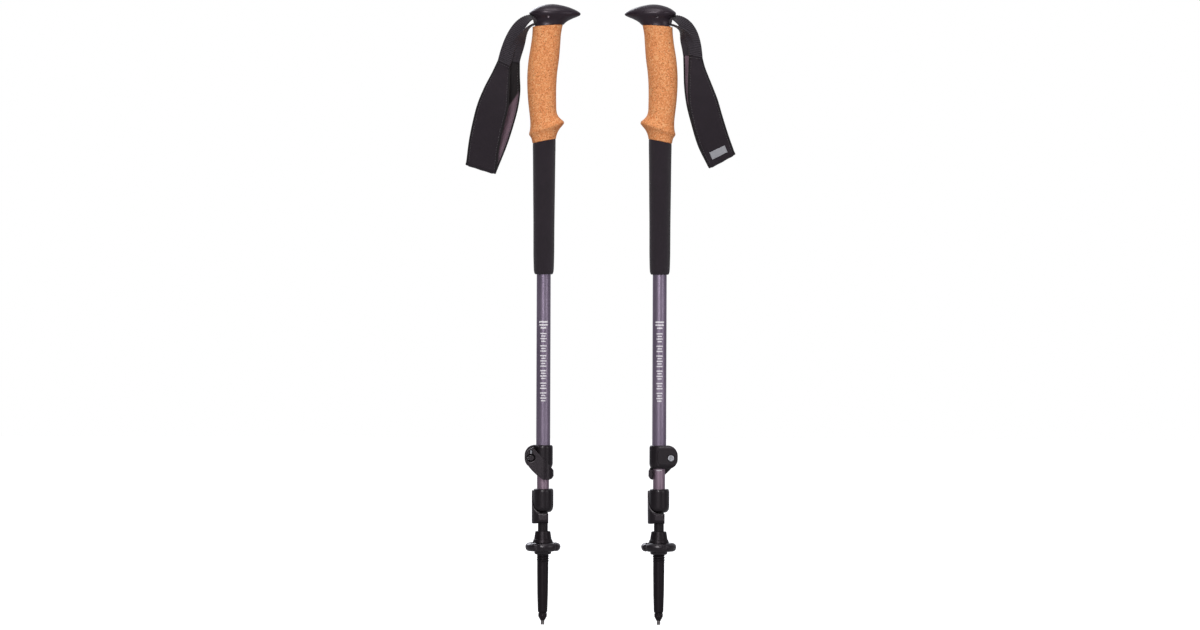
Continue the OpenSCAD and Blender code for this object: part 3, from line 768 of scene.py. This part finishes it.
def strap_frames(path, across):
    """Centre, across and outward directions at each point of a path."""
    path = np.array(path)
    ahead = np.gradient(path, axis=0)
    return [(p, unit(w), unit(np.cross(a, w))) for p, a, w in zip(path, ahead, across)]


def lengths(path):
    steps = np.linalg.norm(np.diff(np.array(path), axis=0), axis=1)
    return np.concatenate([[0], np.cumsum(steps)])


def at_run(frames, run, s):
    """Point on a path, its direction there, its width's direction and its outward direction, at the distance
    s along the path."""
    i = int(np.clip(np.searchsorted(run, s) - 1, 0, len(frames) - 2))
    p, w_dir, out_dir = frames[i]
    ahead = unit(frames[i + 1][0] - p)
    return p + ahead * (s - run[i]), ahead, w_dir, out_dir


def pad_section(w, t):
    """Section of the padded strap: a crowned outer face, bound edges and a flatter lining.
    Rows are place across, place outward, and material: 0 cover, 1 binding, 2 lining."""
    e, b = w / 2, 1.7
    face = [-e + b + (w - 2 * b) * k / 12 for k in range(1, 12)]
    crown = [(1 - (2 * x / w) ** 4) ** 0.6 for x in face]
    rows = [(-e, -0.1, 1), (-e + 0.15, 0.55, 1), (-e + 0.7, 0.95, 1), (-e + b - 0.25, 0.92, 1),
            (-e + b, 0.72, 0)]
    rows += [(x, 0.8 + (t / 2 - 0.8) * c, 0) for x, c in zip(face, crown)]
    rows += [(e - b, 0.72, 1), (e - b + 0.25, 0.92, 1), (e - 0.7, 0.95, 1), (e - 0.15, 0.55, 1), (e, -0.1, 1),
             (e - 0.15, -0.75, 1), (e - 0.7, -1.15, 1), (e - b + 0.25, -1.1, 1), (e - b, -0.88, 2)]
    rows += [(x, -0.9 - (t / 2 - 0.9) * c, 2) for x, c in zip(face[::-1], crown[::-1])]
    rows += [(-e + b, -0.88, 1), (-e + b - 0.25, -1.1, 1), (-e + 0.7, -1.15, 1), (-e + 0.15, -0.75, 1)]
    return rows


def build_pad(side):
    """The padded strap as one closed form, folded over at the bottom. Returns what its stitches follow."""
    ts = np.concatenate([np.linspace(0, 1, 90, endpoint=False), np.linspace(1, 2, 16, endpoint=False),
                         np.linspace(2, 3, 91)])
    path = [pad_point(side, t) for t in ts]
    across = [pad_across(side, t) for t in ts]
    run = lengths(path)
    flip = OUTWARD[side]
    leg_length, hem_length, fold_reach, lining_v = 108, 1.4, 9, 60
    rings, uv, past_painted_shade = [], [], []
    for (p, w_dir, out_dir), t, s in zip(strap_frames(path, across), ts, run):
        hem = min(1, (min(t, 3 - t) * leg_length + 0.6) / hem_length)
        w = pad_width(side, t)
        fold = max(0.0, 1 - abs(s - run[-1] / 2) / fold_reach)
        ring, coords = [], []
        for x, v, _ in pad_section(w, PAD_T * (0.75 + 0.25 * hem)):
            ripple = 0.10 * math.sin(s * 0.33 + x * 0.21) + 0.07 * math.sin(s * 0.9 - x * 0.5)
            pucker = fold * (0.12 * math.sin(x * 0.55 + 1) + 0.06 * math.sin(x * 1.3))
            ring.append(p + w_dir * x + out_dir * flip * (v * (0.7 + 0.3 * hem) + ripple + pucker))
            coords.append((s, x + (0 if v > 0 else lining_v)))
            # Distance past the slanted edge of the painted shade on the lining; the right strap gets no
            # painted shade.
            if side == "left":
                past_painted_shade.append(run[-1] - s - SHADE_WEDGE_LENGTH - SHADE_WEDGE_SLANT * (w / 2 - x))
            else:
                past_painted_shade.append(NO_SHADE_WEDGE)
        rings.append(ring)
        uv.append(coords)
    kinds = [kind for _, _, kind in pad_section(20, PAD_T)]
    obj = surface(side + "_pad", to_world(side, rings), [COVER, BINDING, LINING],
                  slot_of=lambda j: kinds[j], uv=uv)
    layer = obj.data.attributes.new("past_painted_shade", "FLOAT", "POINT")
    layer.data.foreach_set("value", np.array(past_painted_shade, np.float32))
    hand_over(obj, side + "_strap", "strap_pad", side + "_strap_pad")
    return path, across, ts


def bezier(p, t):
    u = 1 - t
    return u ** 3 * p[0] + 3 * t * u ** 2 * p[1] + 3 * t * t * u * p[2] + t ** 3 * p[3]


def web_path(side):
    """Centre line of the webbing from the near layer's seam, up into the head, round the wedge and back
    down to the far layer, with the direction of its width at each point."""
    near_y = NEAR_Y[side]
    up = 3.0 + 0.05 + WEB_T / 2
    turn_at = 18.5
    lap = np.array([0, near_y * 1.7, 0])
    near_end, near_way = pad_point(side, 0.03) + lap, unit(pad_point(side, 0.03) - pad_point(side, 0.05))
    far_end, far_way = pad_point(side, 2.97) + lap, unit(pad_point(side, 2.97) - pad_point(side, 2.95))
    mouth_up, mouth_down = wedge_frame(0, up), wedge_frame(0, -up)
    inward = unit(wedge_frame(1, 0) - wedge_frame(0, 0))
    flat = np.array([0, near_y, 0])
    reach = {"left": 7.5, "right": 12.0}[side]
    near = [near_end, near_end + near_way * 22, mouth_up - inward * 15 + np.array([0, 0.4 * near_y, -0.6]),
            mouth_up]
    far = [mouth_down, mouth_down - inward * reach + np.array([0, -0.3 * near_y, 0]), far_end + far_way * 20,
           far_end]

    def quarter(q, seam):
        """Width direction part-way through the quarter turn from flat in the head to the seam on the pad."""
        turn = math.radians(90) * q
        return math.cos(turn) * flat + math.sin(turn) * seam

    def edge_on(leg, t, seam):
        """Direction square to the leg in the plane of the loop, easing into the seam's at the pad's end."""
        ahead = unit(bezier(leg, min(t + 0.01, 1)) - bezier(leg, max(t - 0.01, 0)))
        square = np.array([ahead[2], 0, -ahead[0]])
        square = square * math.copysign(1, square @ seam)
        near_pad = (1 - t) if leg is near else t
        return unit(square + (seam - square) * near_pad ** 2)

    near_seam, far_seam = pad_across(side, 0), -pad_across(side, 3)
    lean = 0.24      # the share of the quarter turn that is left where the near leg enters the head
    lean_fade = 7    # how far into the head the rest of that turn is taken up
    points, across = [], []
    for t in np.linspace(0, 1, 110, endpoint=False):
        points.append(bezier(near, t))
        across.append(quarter(1 - (1 - lean) * t ** 2, edge_on(near, t, near_seam)))
    for x in np.linspace(0, turn_at, 18, endpoint=False):
        points.append(wedge_frame(x, up))
        across.append(quarter(lean * (1 - smoothstep(x / lean_fade)), edge_on(near, 1, near_seam)))
    for a in np.linspace(0, math.pi, 14, endpoint=False):
        points.append(wedge_frame(turn_at + up * math.sin(a), up * math.cos(a)))
        across.append(flat)
    for x in np.linspace(turn_at, 0, 18, endpoint=False):
        points.append(wedge_frame(x, -up))
        across.append(flat)
    for t in np.linspace(0, 1, 111):
        points.append(bezier(far, t))
        across.append(quarter(smoothstep((t - 0.04) / 0.88) ** 1.5, edge_on(far, t, far_seam)))
    return points, across


def build_webbing(side):
    """The ribbed webbing in one length."""
    path, across = web_path(side)
    run = lengths(path)
    fine = np.arange(0, run[-1], 0.3)
    path, across = ([[np.interp(s, run, [row[k] for row in rows]) for k in range(3)] for s in fine]
                    for rows in (path, across))
    e, h = WEB_W / 2, WEB_T / 2
    flat = [-e + 0.7 + (2 * e - 1.4) * k / 12 for k in range(13)]
    edge = [(0.4, 0.8 * h), (0.12, 0.35 * h), (0.0, 0.0), (0.12, -0.35 * h), (0.4, -0.8 * h)]
    section = ([(x - e, v) for x, v in edge[2::-1]] + [(x, h) for x in flat] + [(e - x, v) for x, v in edge]
               + [(x, -h) for x in flat[::-1]] + [(x - e, v) for x, v in edge[:2:-1]])
    rib_height, yarn_height, back_v = 0.22, 0.05, 40
    rings, uv = [], []
    for (p, w_dir, out_dir), s in zip(strap_frames(path, across), fine):
        rib = rib_height * math.sin(2 * math.pi * s / RIB_PITCH)
        ring = []
        for x, v in section:
            lift = rib * math.copysign(1, v) if abs(v) > 0.4 * h else 0
            ring.append(p + w_dir * x + out_dir * (v + lift + yarn_height * math.sin(x * 2.4)))
        rings.append(ring)
        uv.append([(s, x + (0 if v >= 0 else back_v)) for x, v in section])
    obj = surface(side + "_webbing", to_world(side, rings), [WEBBING], uv=uv)
    inner = to_world(side, wedge_frame(0, 0) + np.array([-0.5, 0, 0]))
    outer = to_world(side, wedge_frame(0, 0) + np.array([-9.0, 0, -2.0]))
    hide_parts(side + "_strap_anchor", side + "_strap_webbing")
    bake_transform(obj)


def build_stitches(side, path, across, ts):
    """Lines of stitches: along both edges of the pad and across the seam where the webbing is sewn on."""
    bm = bmesh.new()
    frames, run = strap_frames(path, across), lengths(path)

    def stitch(s, x, lift, along=True):
        """One stitch: a short six-sided thread with rounded ends."""
        p, ahead, w_dir, out_dir = at_run(frames, run, s)
        centre = p + w_dir * x + out_dir * OUTWARD[side] * lift
        way, width = (ahead, w_dir) if along else (w_dir, ahead)
        rings = []
        for u, r in ((-0.95, 0.05), (-0.8, 0.2), (-0.4, 0.24), (0.4, 0.24), (0.8, 0.2), (0.95, 0.05)):
            rings.append([bm.verts.new(to_world(side, centre + way * u + width * c + out_dir * 0.8 * d))
                          for c, d, _ in circle(r, 0, 6)])
        for a, b in zip(rings, rings[1:]):
            for k in range(6):
                bm.faces.new((a[k], a[(k + 1) % 6], b[(k + 1) % 6], b[k]))
        bm.faces.new(rings[0][::-1])
        bm.faces.new(rings[-1])

    fold_start, fold_end = run[np.searchsorted(ts, 1.0)], run[np.searchsorted(ts, 2.0)]
    inset, spacing, margin = 2.6, 2.6, 3.5
    for s in np.arange(margin, run[-1] - margin, spacing):
        if fold_start - 1 < s < fold_end + 1:
            continue
        edge = pad_width(side, np.interp(s, run, ts)) / 2 - inset
        for sign in (-1, 1):
            stitch(s, sign * edge, 1.12)
            stitch(s, sign * edge, -1.3)
    for s in (2.4, 5.2):
        for x in np.arange(-5.6, 5.7, 2.2):
            stitch(s, x, 2.35, along=False)
    obj = from_bmesh(side + "_pad_stitching", bm, THREAD)
    obj.data.shade_smooth()
    hand_over(obj, side + "_strap", "strap_pad")


def build_label(side, path, across, ts):
    """A plain woven label sewn to the near layer just above the fold."""
    half_w, half_l, centre_t = 8.5, 3.8, 0.945
    face, side_top, back, bevel = 1.82, 1.7, 1.3, 0.12
    frames, run = strap_frames(path, across), lengths(path)
    middle = np.interp(centre_t, ts, run)
    start, end = middle - half_l, middle + half_l
    stations = [(start, bevel)] + [(s, 0.0) for s in np.linspace(start, end, 13)] + [(end, bevel)]
    rings, uv = [], []
    for s, edge in stations:
        centre, _, w_dir, out_dir = at_run(frames, run, s)
        row = [(x, face - edge) for x in np.linspace(-half_w + edge, half_w - edge, 15)]
        row += [(half_w, side_top - edge), (half_w, back), (-half_w, back), (-half_w, side_top - edge)]
        rings.append([centre + w_dir * x + out_dir * OUTWARD[side] * v for x, v in row])
        uv.append([(s, x) for x, _ in row])
    obj = surface(side + "_strap_label", to_world(side, rings), [LABEL], uv=uv)
    hand_over(obj, side + "_strap", "strap_pad")


# ---- Ferrule, nose and basket ----

def build_tip(side):
    """Ferrule with its basket thread, and the nose and basket softened from the CAD's."""
    thread_low, thread_high, pitch, crest_height, run_out = 62.4, 69.6, 2.4, 0.7, 0.4

    def thread(a, r, z):
        start, end = z - thread_low + run_out, thread_high + run_out - z
        if start <= 0 or end <= 0:
            return r
        fade = smoothstep(start / (2 * run_out)) * smoothstep(end / (2 * run_out))
        phase = (z / pitch - a / (2 * math.pi)) % 1
        crest = smoothstep(1.1 - abs(phase - 0.5) * 4.2)
        return r + crest_height * float(crest * fade)

    lower = spline([(0.2, 11.5), (3.7, 11.5), (3.9, 12.0), (4.4, 12.5), (4.75, 13.2), (4.9, 16.0),
                    (5.15, 24.0), (5.35, 31.0), (5.5, 43.0), (5.6, 52.0), (5.62, 60.0)], 5)
    threaded = np.column_stack([np.full(110, 5.62), np.linspace(60.0, 71.0, 110)])
    cup = spline([(5.6, 71.5), (5.6, 79.3), (7.2, 79.5), (8.5, 79.7), (9.4, 80.6), (10.15, 81.7),
                  (10.1, 82.5), (9.55, 84.3), (9.3, 84.95), (8.95, 85.1), (8.75, 85.6), (8.3, 88.4),
                  (7.6, 92.6), (7.35, 93.2), (6.9, 93.3), (6.2, 92.9), (5.4, 92.0), (5.06, 91.0)], 5)
    profile = np.vstack([lower[:-1], threaded, cup])
    ferrule = lathe(side + "_ferrule_body", side, profile, FERRULE, thread)
    hand_over(ferrule, side + "_lower", "ferrule_plastic", side + "_ferrule")
    nose = softened(side + "_tip_nose", side + "_nose", NOSE, voxel=0.14, rounds=3)
    hand_over(nose, side + "_lower", "nose_plastic", side + "_tip_nose")
    basket = softened(side + "_basket", side + "_basket_disc", BASKET, voxel=0.26, rounds=7)
    hand_over(basket, side + "_basket_body", "basket_plastic", side + "_basket")


# ---- Locks ----

# The clamps as they are in the CAD: which way their ears point in the pole frame, the collar's radius, the
# ears' outer face and reach, and the lever's outer face with the ring groove over the screw.
EAR_TURN = {"upper": {"left": 180, "right": 180}, "lower": {"left": 90, "right": -90}}
COLLAR_R, EAR_FACE, EAR_REACH = 9.7, 10.2, 19.0
PLATE_OUT, GROOVE_IN, GROOVE_OUT = 11.2, 2.75, 4.25


def corner_cutter(side, place, top, wide, tall):
    """A bar with a hollow quarter round section that follows the collar's edge from the lever's side, round
    the back and along the outer face of the far ear, and rounds that edge over."""
    lo, hi = box_mm("%s_%s_collar" % (side, place))
    edge, way = (hi[2], -1) if top else (lo[2], 1)
    clear = 2.5

    def section(radius):
        pts = [(radius - wide, edge - way * clear), (radius + clear, edge - way * clear),
               (radius + clear, edge + way * tall)]
        for a in range(0, 91, 10):
            t = math.radians(a)
            pts.append((radius - wide + wide * math.cos(t), edge + way * tall * (1 - math.sin(t))))
        return pts

    rings = []
    for a in range(60, 271, 5):
        t = math.radians(a)
        radius = COLLAR_R + (EAR_FACE - COLLAR_R) * smoothstep((a - 255) / 15)
        rings.append([(r * math.cos(t), r * math.sin(t), z) for r, z in section(radius)])
    for x in (4.0, 8.0, 13.0, EAR_REACH):
        rings.append([(x, -r, z) for r, z in section(EAR_FACE)])
    turn = math.radians(EAR_TURN[place][side])
    c, s = math.cos(turn), math.sin(turn)
    rings = [[(x * c - y * s, x * s + y * c, z) for x, y, z in ring] for ring in rings]
    return surface("cutter", to_world(side, rings), [LOCK])


def paint_groove_shade(lever, side, place):
    """Paints shade into the bottom of the ring groove over the screw: a darker, duller face there."""
    lever.data.materials.append(GROOVE_SHADE)
    lo, hi = box_mm("%s_%s_screw" % (side, place))
    long_axis = max(range(3), key=lambda k: hi[k] - lo[k])
    flat = [k for k in range(3) if k != long_axis]
    for face in lever.data.polygons:
        c = [v / MM for v in face.center]
        away = math.hypot(*(c[k] - (lo[k] + hi[k]) / 2 for k in flat))
        along = abs(c[long_axis] - (AXIS[side] if long_axis == 0 else 0))
        if GROOVE_IN < away < GROOVE_OUT and PLATE_OUT - 0.75 < along < PLATE_OUT - 0.12:
            face.material_index = 1


def build_locks(side):
    """Clamp collars with rounded edges, and their cam levers."""
    for place, collar_body, rounding in (("upper", side + "_grip", 3.2), ("lower", side + "_middle", 4.0)):
        node = "%s_%s_" % (side, place)
        cutters = [corner_cutter(side, place, True, 1.3, 3.0),
                   corner_cutter(side, place, False, rounding, 5.5)]
        collar = softened(node + "collar", node + "clamp", LOCK, voxel=0.2, rounds=3, cutters=cutters)
        hand_over(collar, collar_body, "lock_plastic", node + "collar")
        lever = softened(node + "lever", node + "cam_lever", LEVER, voxel=0.17, rounds=6)
        paint_groove_shade(lever, side, place)
        hand_over(lever, node + "lever_body", "lever_plastic", node + "lever")


# ---- Printing on the tubes ----

def wrapped(name, side, radius, shapes):
    """Rounded bars printed on a tube, on the side that faces the viewer. Each shape is (across, height, half
    width, half height, corner)."""
    bm = bmesh.new()
    front = NEAR_Y[side] * math.pi / 2
    low, high, step = radius + 0.005, radius + 0.04, 0.8
    for cx, cz, half_w, half_h, corner in shapes:
        arc = [(x, z) for x, z, _ in circle(corner, 0, 24)[:7]]
        flat = half_w - corner
        steps = math.ceil(2 * flat / step)
        columns = [(-flat - x, z) for x, z in arc]
        columns += [(2 * flat * k / steps - flat, corner) for k in range(1, steps)]
        columns += [(flat + x, z) for x, z in arc[::-1]]
        rings = []
        for x, z in columns:
            a, tall = front + (cx + x) / radius, half_h - corner + z
            rings.append([bm.verts.new(to_world(side, (r * math.cos(a), r * math.sin(a), cz + edge)))
                          for r, edge in ((low, tall), (high, tall), (high, -tall), (low, -tall))])
        for a, b in zip(rings, rings[1:]):
            for k in range(4):
                bm.faces.new((a[k], a[(k + 1) % 4], b[(k + 1) % 4], b[k]))
        bm.faces.new(rings[0][::-1])
        bm.faces.new(rings[-1])
    return from_bmesh(name, bm, PRINT)


def scale_ticks(node, lowest, long_tick, short_tick):
    """Ticks every 10 mm up an inner tube, longer at every fifth. lowest is the first one's height on it."""
    lo, hi = box_mm(node)
    ticks = []
    for k, z in enumerate(np.arange(lo[2] + lowest, hi[2] - 60, 10)):
        half_w, half_h = (long_tick, 0.42) if k % 5 == 0 else (short_tick, 0.28)
        ticks.append((0, float(z), half_w, half_h, 0.2))
    return ticks


def build_print(side):
    """Generic print: three short bars over a run of cross ticks in groups, and a length scale below."""
    bars = [(0, 302.6, 4.6, 0.8, 0.7), (0, 299.6, 4.6, 0.8, 0.7), (0, 296.6, 2.9, 0.8, 0.7)]
    z, tick_pitch, group_gap = 291.0, 2.6, 2.0
    for group in (4, 3, 5, 4, 3, 4):
        for k in range(group):
            bars.append((0, z, 3.2 if k % 2 == 0 else 2.3, 0.62, 0.5))
            z -= tick_pitch
        z -= group_gap
    obj = wrapped(side + "_tube_print", side, TUBE_R["upper"], bars)
    hand_over(obj, side + "_grip", "upper_anodising")
    for part, scale, *ticks in (("middle", "_length_scale", 40, 2.6, 1.5),
                                ("lower", "_lower_scale", 110, 2.2, 1.3)):
        obj = wrapped(side + scale, side, TUBE_R[part], scale_ticks("%s_%s_tube" % (side, part), *ticks))
        hand_over(obj, "%s_%s" % (side, part), part + "_anodising")


# ---- CAD nodes that stay ----

KEPT = {
    "grip_core": CORE, "strap_pin": BLACKED, "strap_wedge": CORE, "upper_tube": UPPER, "upper_barrel": STEEL,
    "upper_screw": STEEL, "upper_washer": STEEL, "middle_guide": GUIDE, "middle_tube": MIDDLE,
    "lower_barrel": STEEL, "lower_screw": STEEL, "lower_washer": STEEL, "lower_guide": GUIDE,
    "lower_tube": LOWER, "carbide_tip": CARBIDE,
}


def dress(node, material):
    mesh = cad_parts[node].data
    mesh.materials.clear()
    mesh.materials.append(material)


# ---- Studio ----

def area_light(name, place, target, size, power, colour=(1, 1, 1)):
    data = bpy.data.lights.new(name, "AREA")
    data.shape = "RECTANGLE"
    data.size, data.size_y = size
    data.energy = power
    data.color = colour
    obj = placed(name, data)
    obj.location = place
    obj.rotation_euler = (Vector(target) - Vector(place)).to_track_quat("-Z", "Y").to_euler()


def build_world():
    """White to the camera. The light it casts is pale from behind and above, and dim from the front."""
    world = bpy.data.worlds.new("studio")
    bpy.context.scene.world = world
    world.use_nodes = True
    nodes, links = world.node_tree.nodes, world.node_tree.links
    seen = nodes["Background"]
    seen.inputs["Color"].default_value = (1, 1, 1, 1)
    seen.inputs["Strength"].default_value = 1.0
    soft = nodes.new("ShaderNodeBackground")
    soft.inputs["Color"].default_value = (0.93, 0.92, 1.0, 1)
    place = nodes.new("ShaderNodeTexCoord")
    away = nodes.new("ShaderNodeVectorMath")
    away.operation = "DOT_PRODUCT"
    away.inputs[1].default_value = (0, 0.75, 0.35)
    links.new(place.outputs["Generated"], away.inputs[0])
    fade = nodes.new("ShaderNodeMapRange")
    for socket, value in (("From Min", -0.4), ("From Max", 0.8), ("To Min", 0.12), ("To Max", 0.5)):
        fade.inputs[socket].default_value = value
    links.new(away.outputs["Value"], fade.inputs["Value"])
    links.new(fade.outputs["Result"], soft.inputs["Strength"])
    path = nodes.new("ShaderNodeLightPath")
    mix = nodes.new("ShaderNodeMixShader")
    links.new(path.outputs["Is Camera Ray"], mix.inputs[0])
    links.new(soft.outputs[0], mix.inputs[1])
    links.new(seen.outputs[0], mix.inputs[2])
    links.new(mix.outputs[0], nodes["World Output"].inputs["Surface"])


def build_studio():
    scene = bpy.context.scene
    build_world()
    scene.view_settings.view_transform = "Standard"

    floor = bpy.data.meshes.new("floor")
    reach = 6.0
    floor.from_pydata([(-reach, -reach, 0), (reach, -reach, 0), (reach, reach, 0), (-reach, reach, 0)], [],
                      [(0, 1, 2, 3)])
    floor.materials.append(floor_material())
    placed("floor", floor)

    middle = (0, 0, 0.31)
    area_light("key", (-0.35, -2.4, 1.3), middle, (0.6, 1.6), 40)
    area_light("fill", (1.9, -1.5, 0.9), middle, (1.0, 1.6), 10)
    area_light("top", (0, -0.5, 2.4), (0, 0, 0.3), (1.0, 1.0), 11)
    area_light("rim", (-0.9, 2.0, 1.5), (0, 0, 0.2), (1.4, 1.0), 22, (0.9, 0.93, 1.0))

    frame_width, distance, roll = 1.2, 4.0, math.radians(-0.2)
    data = bpy.data.cameras.new("camera")
    data.sensor_width = 36
    data.lens = data.sensor_width * distance / frame_width
    camera = placed("camera", data)
    camera.location = (-0.0016, -distance, 0.3096)
    camera.rotation_euler = (math.pi / 2, roll, 0)
    scene.camera = camera


# ---- Build ----

for side in SIDES:
    for part, material in KEPT.items():
        dress(side + "_" + part, material)
    build_handle(side)
    build_foam(side)
    pad_path = build_pad(side)
    build_webbing(side)
    build_stitches(side, *pad_path)
    if side == "right":
        build_label(side, *pad_path)
    build_tip(side)
    build_locks(side)
    build_print(side)
build_studio()

bpy.context.view_layer.update()
